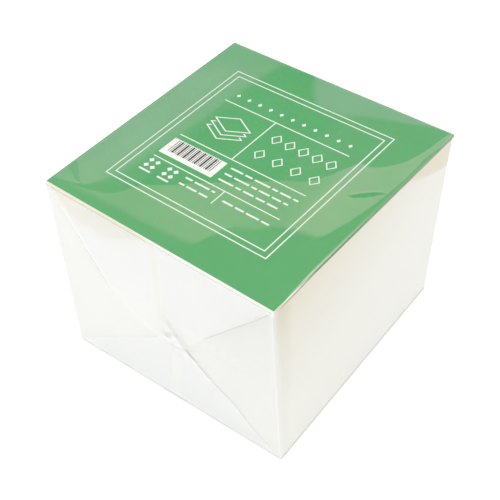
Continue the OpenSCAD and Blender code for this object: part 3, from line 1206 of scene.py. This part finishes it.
    def covered(self, side: Side, u: np.ndarray, v: np.ndarray) -> np.ndarray:
        """1 where a tucked side lies under a flap, else 0.

        Args:
            side: the side of the tube that the film comes from.
            u: how far from the left, as on the front end.
            v: how far below the top.

        Returns:
            The share of each point that is covered.
        """
        if side in (Side.TOP, Side.BASE):
            return np.zeros(u.shape)
        hidden = np.zeros(u.shape)
        for own, (left, right) in ((v, UPPER_CREASES), (self.height - v, LOWER_CREASES)):
            first = own + read(own / MM, left) * MM
            last = self.side - own + read(own / MM, right) * MM
            soft = np.minimum(u - first, last - u) / (1.2 * MM) + 0.5
            hidden = np.maximum(hidden, np.clip(soft, 0, 1) * (own < self.fold_depth))
        return hidden

    def crease_paint(self, side: Side, u: np.ndarray, v: np.ndarray, back: bool) -> np.ndarray:
        """How strong the painted dark line and highlight along a flap's crease are, from 0 to 1.

        Args:
            side: the side of the tube that the flap comes from.
            u: how far from the left, all on one side of the middle.
            v: how far below the top.
            back: True for the far end.

        Returns:
            The strength at each point.
        """
        right = bool(u.mean() > self.side / 2) != back
        if side is Side.TOP:
            return UPPER_CREASE_PAINT[right] * self.held(v)
        return LOWER_CREASE_PAINT[right] * self.held(self.height - v)

    def held(self, depth: np.ndarray) -> np.ndarray:
        """How clear a crease still is at a depth below its fold, from 1 to nearly 0."""
        return np.clip((self.held_depth - depth) / (7 * MM), 0.08, 1)

    def seal_mask(self, u: np.ndarray, v: np.ndarray) -> np.ndarray:
        """Where the heat of the seal has puckered the film, from 0 to 1.

        Args:
            u: how far from the left, as on the front end.
            v: how far below the top.

        Returns:
            The mask's value at each point.
        """
        middle_u, middle_v, half_u, half_v = SEAL_PATCH
        patch = np.hypot((u - middle_u * MM) / (half_u * MM), (v - middle_v * MM) / (half_v * MM))
        lines = np.minimum(*(self._off_line(u, v, line) for line in SEAL_LINES))
        middle, half, foot = SEAL_STRIP
        strip = np.abs(u - middle * MM) / (half * MM)
        strip = 0.1 * np.exp(-strip ** 4) * np.clip((foot * MM - v) / (4 * MM), 0, 1)
        return np.maximum(np.exp(-patch ** 2) + 0.7 * np.exp(-lines ** 2), strip)

    @staticmethod
    def _off_line(u: np.ndarray, v: np.ndarray, line: tuple[float, ...]) -> np.ndarray:
        """How far points lie off a line of welded spots, in half widths, with far past its ends.

        Args:
            u: how far from the left, as on the front end.
            v: how far below the top.
            line: one of SEAL_LINES.

        Returns:
            The distances in half widths, raised by 10 past the ends.
        """
        point_u, point_v, slope, half, first, last = line
        off = np.abs((v - point_v * MM) - slope * (u - point_u * MM)) / (half * MM)
        return off + 10 * ((u < first * MM) | (u > last * MM))

    def fold(self, column: tuple[Side, float], depth: np.ndarray, back: bool) -> tuple:
        """Where a column of the sheet goes over a folded end.

        Args:
            column: the side of the tube and the place on it, from the left or the base.
            depth: how far in over the end each grid point is, in the flat sheet.
            back: True for the far end.

        Returns:
            The points and the marks of each, see FILM_MARKS.
        """
        side = column[0]
        start = self.soft(depth, self.fold_reach)
        if side in (Side.LEFT, Side.RIGHT):
            u, v, off = self._tuck(column, depth, start)
            crease = np.full(depth.shape, NO_CREASE)
            crease_paint = np.zeros(depth.shape)
            under = np.zeros(depth.shape, bool)
        else:
            u, v, off, crease, crease_paint, under = self._flap(column, depth, start, back)
        swapped = {Side.LEFT: Side.RIGHT, Side.RIGHT: Side.LEFT} if back else {}
        own = self.drawn(swapped.get(side, side), self.side - u if back else u, v)
        u = self.side - own if back else own
        form = self.end_form(back, u, v)
        mask = self.seal_mask(own, v)
        pucker = mask * self.seal_waves.at(u, v) * 0.02 * MM
        point = self.end_point(back, u, v, off + form + pucker * start)
        # Painted highlight along one upright edge of each end, and a faint painted brightening of the
        # lower flap
        edge = (u if back else self.side - u) / MM
        glint = 0.3 * np.exp(-(edge / 0.9) ** 2) + (0.025 if side is Side.BASE else 0.0)
        inner = np.maximum(under, self.covered(side, own, v)) * start
        return point, np.stack([mask * start, crease, crease_paint, glint, inner], -1)

    def _tuck(self, column: tuple[Side, float], depth: np.ndarray, start: np.ndarray) -> tuple:
        """A column of a tucked side: how far from the left, below the top and out it lies.

        Args:
            column: the side of the tube and the place on it, from the base.
            depth: how far in over the end each grid point is, in the flat sheet.
            start: 0 at the fold and 1 well away from it.

        Returns:
            The three distances.
        """
        side, place = column
        gap = 2 * self.layer
        squeeze = (self.height - 2 * gap * start) / self.height
        v = gap * start + (self.height - place) * squeeze
        u = depth if side is Side.LEFT else self.side - depth
        near = np.minimum(v, self.height - v)
        off = self.layer * start * (1 + 0.5 * np.exp(-near / self.fold_reach))
        return u, v, off

    def _flap(
        self, column: tuple[Side, float], depth: np.ndarray, start: np.ndarray, back: bool
    ) -> tuple:
        """A column of a flap and of the film that its crease turns under it.

        Args:
            column: the side of the tube and the place on it, from the left or the base.
            depth: how far in over the end each grid point is, in the flat sheet.
            start: 0 at the fold and 1 well away from it.
            back: True for the far end.

        Returns:
            How far from the left, below the top and out it lies, how far from the crease in
            millimetres, how strong its painted line is, and where the film is turned under.
        """
        side, place = column
        gap = 2 * self.layer
        near = min(place, self.side - place)
        under = depth > near + 1e-7
        crease = np.abs(near - depth) / math.sqrt(2)
        fold_v = near + gap * start * (1 - near / np.maximum(depth, 1e-9))
        v = np.where(under, fold_v, depth)
        inward = np.where(under, depth, near)
        u = inward if place <= self.side / 2 else self.side - inward
        pinch = np.exp(-crease / (0.8 * MM)) * (near < self.fold_depth) * self.held(v)
        rise = 0.5 * np.exp(-v / self.fold_reach)
        tucked = self.layer * (self.tuck_out - rise + 0.5 * pinch) * start
        flap = self.layer * (self.flap_out - 0.5 * pinch) * self.soft(np.array(near), self.fold_reach)
        lift = self.edge_lift * np.exp(-crease / (1.2 * MM)) * np.clip((v - 2 * MM) / (6 * MM), 0, 1)
        lift = lift * self.held(v) * (1.0 if side is Side.TOP else 0.2)
        crease_paint = self.crease_paint(side, u, v, back)
        off = np.where(under, tucked, flap + lift)
        if side is Side.TOP:
            over = np.clip((v - self.height + self.fold_depth) / MM, 0, 1)
            off = off + self.layer * 1.1 * over * ~under
        else:
            v = self.height - v
        return u, v, off, np.where(under, NO_CREASE, crease / MM), crease_paint, under

    def tube_marks(self, column: tuple[Side, float], along: np.ndarray) -> np.ndarray:
        """What the film's finish reads at each grid point of a column on the tube.

        Args:
            column: the side of the tube and the place on it, from the left or the base.
            along: how far from the front edge each grid point is.

        Returns:
            A row of FILM_MARKS for each grid point.
        """
        side, place = column
        share = along / self.side
        seal, inner = np.zeros((2, len(along)))
        crease = np.full(len(along), NO_CREASE)
        crease_paint, glint = np.zeros((2, len(along)))
        # On the top: a painted dark line along its left and back edges and a painted highlight along
        # its right edge
        if side is Side.TOP:
            crease = np.minimum(place / MM, (self.side - along) / MM)
            crease_paint = np.full(len(along), 0.45)
            glint = self.rim_glint(share, (place - self.side) / MM)
        # On the right side: the crease marks place a painted shadow line under the card's edge, and
        # glint adds painted highlights by the front edge and along the rim
        if side is Side.RIGHT:
            down = (self.height - place) / MM
            crease = np.maximum(np.abs(down - read(share, DARK_PLACE)) - 0.35, 0)
            crease_paint = read(share, DARK_LEVEL) * (down < 3)
            glint = 0.12 * np.exp(-(along / MM / 0.9) ** 2) + self.rim_glint(share, down)
        return np.stack([seal, crease, crease_paint, glint, inner], -1)

    @staticmethod
    def rim_glint(share: np.ndarray, down: float) -> np.ndarray:
        """The painted highlight along the right edge of the top, down being millimetres below it."""
        off = (down - read(share, BRIGHT_PLACE)) / 0.35
        return read(share, BRIGHT_LEVEL) * np.exp(-off ** 2)

    def tube_point(self, column: tuple[Side, float], along: np.ndarray) -> np.ndarray:
        """Where a column of the sheet goes on the tube.

        Args:
            column: the side of the tube and the place on it, from the left or the base.
            along: how far from the front edge each grid point is.

        Returns:
            Rows of x, y and z.
        """
        side, place = column
        fold_off = self.soft(np.array(min(place, self.side - place)), self.fold_reach)
        stand = self.layer * self.flap_out * float(fold_off)
        ends = self.soft(np.minimum(along, self.side - along), 1.2 * MM)
        if side is Side.BASE:
            return self._base_point(place, along, stand * (1 - ends))
        if side is Side.TOP:
            return self._top_point(place, along, stand * (1 - ends))
        return self._side_point(side, place, along)

    def _base_point(self, place: float, along: np.ndarray, stand: np.ndarray) -> np.ndarray:
        """Points of the base, whose ends stand out by the layers folded over them.

        Args:
            place: how far from the left the column is.
            along: how far from the front edge each grid point is.
            stand: how far the layers push it out.

        Returns:
            Rows of x, y and z.
        """
        share = along / self.side
        x = np.full_like(along, place - self.side / 2)
        y = along - self.side / 2 + (2 * share - 1) * (self.clearance + stand)
        rim = np.minimum(np.minimum(along, self.side - along), min(place, self.side - place))
        lift = self.rim_lift * (1 - self.soft(rim, 1.2 * MM))
        return np.stack([x, y, self.base + lift], -1)

    def _top_point(self, place: float, along: np.ndarray, stand: np.ndarray) -> np.ndarray:
        """Points of the top, stretched between its four edges and down to the sheets past the card.

        Args:
            place: how far from the left the column is.
            along: how far from the front edge each grid point is.
            stand: how far the layers push it out.

        Returns:
            Rows of x, y and z.
        """
        share = along / self.side
        across = place / self.side
        front = self.outline(Side.BASE, np.full_like(along, across))
        rear = self.outline(Side.TOP, np.full_like(along, across))
        left = self.outline(Side.LEFT, share)
        right = self.outline(Side.RIGHT, share)
        flat = front * (1 - share)[:, None] + rear * share[:, None]
        hold = left * (1 - across) + right * across
        corners = [self.outline(Side.LEFT, np.array([k]))[0] for k in (0.0, 1.0)]
        corners += [self.outline(Side.RIGHT, np.array([k]))[0] for k in (0.0, 1.0)]
        near = corners[0] * (1 - across) + corners[2] * across
        far = corners[1] * (1 - across) + corners[3] * across
        point = flat + hold - near * (1 - share)[:, None] - far * share[:, None]
        point[:, 1] += (2 * share - 1) * (self.clearance + stand)
        point[:, 0] += (2 * across - 1) * self.clearance
        drop = np.clip(self.card.outside(point[:, 0], point[:, 1]) / (0.9 * MM), 0, 1)
        point[:, 2] = self.card.top + self.clearance - (self.card.top - self.height) * drop
        rim = np.minimum(np.minimum(along, self.side - along), min(place, self.side - place))
        waves = 0.5 + 0.5 * self.top_waves.at(point[:, 0], point[:, 1])
        point[:, 2] += self.soft(rim, 8 * MM) * waves * self.ripples[2] * MM
        return point

    def _side_point(self, side: Side, place: float, along: np.ndarray) -> np.ndarray:
        """Points of the right or left side, which clings to the sheets and ripples a little.

        Args:
            side: which of the two sides.
            place: how far above the base the column is.
            along: how far from the front edge each grid point is.

        Returns:
            Rows of x, y and z.
        """
        share = along / self.side
        way = 1 if side is Side.RIGHT else -1
        x, z = np.full_like(along, way * self.side / 2), np.full_like(along, self.foot)
        low = np.stack([x, along - self.side / 2, z], -1)
        point = self.wall(side, low, share, np.full_like(along, place / self.height))
        rim = np.minimum(np.minimum(along, self.side - along), min(place, self.height - place))
        shift = 30 * MM if way > 0 else 0
        waves = 0.5 + 0.5 * self.side_waves.at(along + shift, point[:, 2] * 0.5)
        ripple = self.soft(rim, 6 * MM) * waves * self.ripples[1] * MM
        point[:, 0] += way * (self.clearance + ripple)
        point[:, 1] += (2 * share - 1) * self.clearance
        return point

    def columns(self) -> list[tuple[Side, float]]:
        """The sheet's columns in order, from the inner edge of the lap to the outer one.

        Returns:
            Each column's side of the tube and its place there, from the left or the base.
        """
        base = self.lines(self.side)
        wall = self.lines(self.height)
        middle = self.side / 2
        first = base[base > middle - self.lap / 2 - 1e-6]
        last = base[base < middle + self.lap / 2 + 1e-6]
        made = [(Side.BASE, x) for x in first]
        made += [(Side.RIGHT, z) for z in wall[1:]]
        made += [(Side.TOP, x) for x in base[-2::-1]]
        made += [(Side.LEFT, z) for z in wall[-2::-1]]
        made += [(Side.BASE, x) for x in last[1:]]
        return made

    def build(self) -> bpy.types.Object:
        """Models the film.

        Returns:
            The finished piece.
        """
        columns = self.columns()
        depths = self.depths()
        along = self.lines(self.side)
        rows = len(depths) * 2 + len(along) - 2
        lap_end = self.side / 2 + self.lap / 2
        points = np.zeros((len(columns), rows, 3))
        marks = np.zeros((len(columns), rows, len(FILM_MARKS)))
        reach = len(depths) - 1
        turn = 0
        for index, column in enumerate(columns):
            side, place = column
            turn += index > 0 and columns[index - 1][0] is Side.LEFT and side is Side.BASE
            tube = self.tube_point(column, along)
            front, front_marks = self.fold(column, depths, False)
            rear, rear_marks = self.fold(column, depths, True)
            if side is Side.BASE:
                tube[:, 2] -= 0.03 * MM * self.lap_share(place) * (turn > 0)
            points[index, reach:reach + len(along)] = tube
            points[index, :reach] = front[:0:-1]
            points[index, -reach:] = rear[1:]
            marks[index, reach:reach + len(along)] = self.tube_marks(column, along)
            marks[index, :reach] = front_marks[:0:-1]
            marks[index, -reach:] = rear_marks[1:]
        self._join_bends(points, columns, reach, len(along))
        faces = self._faces(columns, rows, reach, len(along), lap_end)
        return self._mesh(points, faces, marks)

    def lap_share(self, place: float) -> float:
        """How far the outer edge of the lap hangs below the inner one, from 0 to 1."""
        start = self.side / 2 - self.lap / 2
        return float(np.clip((place - start + 3 * MM) / (3 * MM), 0, 1))

    def _join_bends(
        self, points: np.ndarray, columns: list[tuple[Side, float]], reach: int, tube_rows: int
    ) -> None:
        """Rounds the tube's long bends by drawing each bend's column in between its neighbours.

        Args:
            points: the grid, which is changed.
            columns: the sheet's columns in order.
            reach: how many rows lie over each end.
            tube_rows: how many rows lie on the tube.
        """
        rows = slice(reach, reach + tube_rows)
        for index in range(1, len(columns) - 1):
            if columns[index - 1][0] is not columns[index + 1][0]:
                middle = (points[index - 1, rows] + points[index + 1, rows]) / 2
                points[index, rows] = points[index, rows] * 0.6 + middle * 0.4

    def _faces(
        self, columns: list[tuple[Side, float]], rows: int, reach: int, tube_rows: int, lap_end: float
    ) -> list[tuple[int, ...]]:
        """The grid's faces, split along the creases.

        Where the seal has welded a flap to the film turned under it, only the flap stays.

        Args:
            columns: the sheet's columns in order.
            rows: how many rows the grid has.
            reach: how many rows lie over each end.
            tube_rows: how many rows lie on the tube.
            lap_end: where the outer edge of the lap lies on the base.

        Returns:
            The faces as rows of vertex numbers.
        """
        depths = self.depths()
        faces = []
        turn = 0
        for i, (side, place) in enumerate(columns[:-1]):
            after_side, after = columns[i + 1]
            turn += i > 0 and columns[i - 1][0] is Side.LEFT and side is Side.BASE
            entering = side is not after_side and after_side in (Side.TOP, Side.BASE)
            flat_side = after_side if entering else side
            for j in range(rows - 1):
                corners = [i * rows + j, (i + 1) * rows + j, (i + 1) * rows + j + 1, i * rows + j + 1]
                if reach <= j < reach + tube_rows - 1:
                    faces.append(tuple(corners))
                    continue
                near_end = j < reach
                deep = reach - j if near_end else j + 1 - reach - tube_rows + 1
                shallow = deep - 1
                if side is not Side.TOP and after_side is not Side.TOP and side is not Side.BASE:
                    faces.append(tuple(corners))
                    continue
                if flat_side is Side.BASE and turn == 0 and max(place, after) <= lap_end + 1e-6:
                    continue
                low_depth, high_depth = depths[shallow], depths[deep]
                at, to = self._near(side, place), self._near(after_side, after)
                low_near, high_near = min(at, to), max(at, to)
                under = low_depth >= high_near - 1e-7
                welded = low_near > self.height - self.fold_depth
                on_crease = abs(low_depth - low_near) < 1e-7 and abs(high_depth - high_near) < 1e-7
                if on_crease:
                    faces += self._split(corners, at < to, near_end, welded)
                elif not (under and welded):
                    faces.append(tuple(corners))
        return faces

    def _near(self, side: Side, place: float) -> float:
        """How far a place on the top or the base is from the nearest of the tube's bends."""
        return min(place, self.side - place) if side in (Side.TOP, Side.BASE) else 0.0

    @staticmethod
    def _split(corners: list[int], rising: bool, near_end: bool, welded: bool) -> list[tuple[int, ...]]:
        """Cuts a square in two along its crease and leaves out a half that is welded away.

        Args:
            corners: the square's corners in order.
            rising: True if the next column is further from the bend.
            near_end: True at the front end, where the rows run outwards first.
            welded: True where only the outer half stays.

        Returns:
            One or two triangles.
        """
        a, b, c, d = corners
        if rising != near_end:
            halves = [(a, b, c), (a, c, d)]
        else:
            halves = [(a, b, d), (b, c, d)]
        if not welded:
            return halves
        return [halves[1 if near_end else 0]]

    def _mesh(
        self, points: np.ndarray, faces: list[tuple[int, ...]], marks: np.ndarray
    ) -> bpy.types.Object:
        """Makes the sheet's mesh and gives it its finish.

        Args:
            points: the grid's points.
            faces: rows of the numbers of grid points.
            marks: a row of FILM_MARKS for each grid point.

        Returns:
            The finished piece.
        """
        used = sorted({v for f in faces for v in f})
        index = {v: k for k, v in enumerate(used)}
        mesh = bpy.data.meshes.new("film_wrap_sheet")
        flat = points.reshape(-1, 3)
        mesh.from_pydata(flat[used].tolist(), [], [tuple(index[v] for v in f) for f in faces])
        for place, name in enumerate(FILM_MARKS):
            values = marks[..., place].ravel()[used].astype(np.float32)
            mesh.attributes.new(name, "FLOAT", "POINT").data.foreach_set("value", values)
        piece = bpy.data.objects.new("film_sheet", mesh)
        bpy.context.scene.collection.objects.link(piece)
        activate(piece)
        bpy.ops.object.shade_smooth_by_angle(angle=math.radians(40))
        piece.data.materials.append(ClearFilm().material())
        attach(piece, BODY)
        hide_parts("film_wrap")
        return piece


@dataclass
class Label:
    """The card and its print, whose CAD solids stay and get their finishes."""

    def dress(self) -> list[bpy.types.Object]:
        """Puts the finishes on the card and the two inks.

        Returns:
            The three nodes' objects.
        """
        finishes = {
            "label_card": CardBoard(),
            "green_print": Ink("green_ink", (0.08, 0.365, 0.125), (0.105, 0.405, 0.155)),
            "black_print": Ink("black_ink", (0.018, 0.018, 0.02), (0.035, 0.034, 0.035)),
        }
        dressed = []
        for name, finish in finishes.items():
            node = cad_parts[name]
            node.data.materials.clear()
            node.data.materials.append(finish.material())
            dressed.append(node)
        return dressed


@dataclass
class Softbox:
    """A flat lamp that lights the block and that the film mirrors.

    Args:
        name: the lamp's name.
        place: where it hangs, in metres.
        target: the point that it faces.
        width: its width.
        height: its height.
        radiance: how bright its face is, where 1 is white.
        colour: its colour.
    """

    name: str
    place: tuple[float, float, float]
    target: tuple[float, float, float]
    width: float
    height: float
    radiance: float
    colour: tuple[float, float, float] = (1.0, 1.0, 1.0)

    def build(self) -> None:
        """Hangs the lamp, with its width across the way that it faces."""
        data = bpy.data.lights.new(self.name, "AREA")
        data.shape = "RECTANGLE"
        data.size = self.width
        data.size_y = self.height
        data.energy = self.radiance * self.width * self.height * math.pi
        data.color = self.colour
        lamp = bpy.data.objects.new(self.name, data)
        back = (Vector(self.place) - Vector(self.target)).normalized()
        up = back.cross(Vector((1.0, 0.0, 0.0))).normalized()
        turn = Matrix((up.cross(back), up, back)).transposed()
        lamp.matrix_world = Matrix.Translation(Vector(self.place)) @ turn.to_4x4()
        bpy.context.scene.collection.objects.link(lamp)


@dataclass
class Studio:
    """The pale floor, the even surroundings, the lamps and the camera.

    Args:
        floor_size: the floor's side.
        floor_colour: the floor's colour.
        lift: what the floor adds for the camera, so that all but its shadows is white.
        sky: how bright the room is at the horizon and high up.
        low_tint: the colour that the film mirrors of the room's lower half.
        high_tint: the colour that it mirrors of the ceiling.
        eye: the camera's place.
        right: the camera's right.
        forward: the way it looks.
        lens: the focal length on a sensor of 36 mm.
    """

    floor_size: float = 8.0
    floor_colour: tuple[float, float, float] = (0.81, 0.81, 0.81)
    lift: float = 0.4
    sky: tuple[float, float] = (0.35, 0.92)
    low_tint: tuple[float, float, float] = (0.93, 0.96, 0.92)
    high_tint: tuple[float, float, float] = (0.97, 1.07, 0.75)
    eye: tuple[float, float, float] = (168.53 * MM, -192.01 * MM, 293.33 * MM)
    right: tuple[float, float, float] = (0.79374, 0.60468, -0.0659)
    forward: tuple[float, float, float] = (-0.46218, 0.52914, -0.71162)
    lens: float = 1000.7 * 36.0 / 500.0

    def build(self) -> None:
        """Builds the whole studio."""
        self._floor()
        self._world()
        for lamp in self.lamps():
            lamp.build()
        self._camera()
        bpy.context.scene.view_settings.view_transform = "Standard"

    def lamps(self) -> list[Softbox]:
        """The lamps, all aimed at the block.

        Returns:
            The lamps, not yet hung.
        """
        middle = (0.0, 0.0, 0.04)
        top = (0.0, 0.0, 0.08)
        warm = (1.0, 0.95, 0.87)
        return [
            Softbox("front_left_box", (-0.5, -1.1, 0.7), middle, 0.9, 0.6, 2.35),
            Softbox("right_box", (1.2, 0.0, 0.8), middle, 0.8, 0.6, 1.75, warm),
            Softbox("over_box", (0.25, -0.3, 1.3), top, 0.8, 0.8, 0.7),
        ]

    def _floor(self) -> None:
        """Lays the floor, which keeps the block's shadow."""
        clear_selection()
        bpy.ops.mesh.primitive_plane_add(size=self.floor_size, location=(0, 0, 0))
        floor = bpy.context.object
        floor.name = "studio_floor"
        tree, made = Tree.material("studio_floor")
        base = tree.node("ShaderNodeBsdfDiffuse", None, {"Color": rgba(self.floor_colour)})
        place = tree.place()
        out = tree.larger(abs(tree.axis(place, 0)), abs(tree.axis(place, 1)))
        rays = self._shown(tree) * tree.ramp(out, 47.5 * MM, 48.1 * MM) * self.lift
        glow = tree.node("ShaderNodeEmission", None, {"Color": rgba((1, 1, 1)), "Strength": rays})
        both = tree.node("ShaderNodeAddShader", None, {0: base, 1: glow})
        tree.finish(both)
        floor.data.materials.append(made)

    @staticmethod
    def _shown(tree: Tree) -> Socket:
        """1 for rays that show the background: to the camera, mirrored or passed on."""
        return tree.ray("Is Camera Ray") + tree.ray("Is Glossy Ray") + tree.ray("Is Transmission Ray")

    def _world(self) -> None:
        """Makes the even pale surroundings."""
        world = bpy.data.worlds.new("studio")
        bpy.context.scene.world = world
        world.use_nodes = True
        world.node_tree.nodes.clear()
        tree = Tree(world.node_tree)
        height = tree.axis(tree.place("Generated"), 2)
        sky = tree.ramp(height, 0.02, 0.5, *self.sky)
        level = tree.ray("Is Camera Ray") * (1.0 - sky) + sky
        glow = tree.node("ShaderNodeBackground", None, {"Color": rgba((1, 1, 1)), "Strength": level})
        ceiling = tree.step(height, 0.6, 0.68)
        tint = tree.mix_colour(ceiling, rgba(self.low_tint), rgba(self.high_tint))
        room = tree.node("ShaderNodeBackground", None, {"Color": tint, "Strength": sky * 1.08})
        mirrored = tree.ray("Is Glossy Ray")
        seen = tree.node("ShaderNodeMixShader", None, {0: mirrored, 1: glow, 2: room})
        tree.node_output(seen, "ShaderNodeOutputWorld")

    def _camera(self) -> None:
        """Sets up the camera at the photograph's place."""
        data = bpy.data.cameras.new("camera")
        data.sensor_width = 36.0
        data.lens = self.lens
        data.clip_start = 0.01
        camera = bpy.data.objects.new("camera", data)
        back = -Vector(self.forward).normalized()
        right = Vector(self.right).normalized()
        up = back.cross(right)
        turn = Matrix((right, up, back)).transposed()
        camera.matrix_world = Matrix.Translation(Vector(self.eye)) @ turn.to_4x4()
        bpy.context.scene.collection.objects.link(camera)
        bpy.context.scene.camera = camera


def main() -> None:
    """Builds the block and the studio, in order."""
    logging.basicConfig(level=logging.INFO, format="%(name)s: %(message)s")
    block = Block()
    made = [SheetStack(block).build(), *Label().dress(), FilmWrap(block, Card()).build()]
    for piece in made:
        log.info("%s has %d faces", piece.name, len(piece.data.polygons))
    Studio().build()


if __name__ == "__main__":
    main()
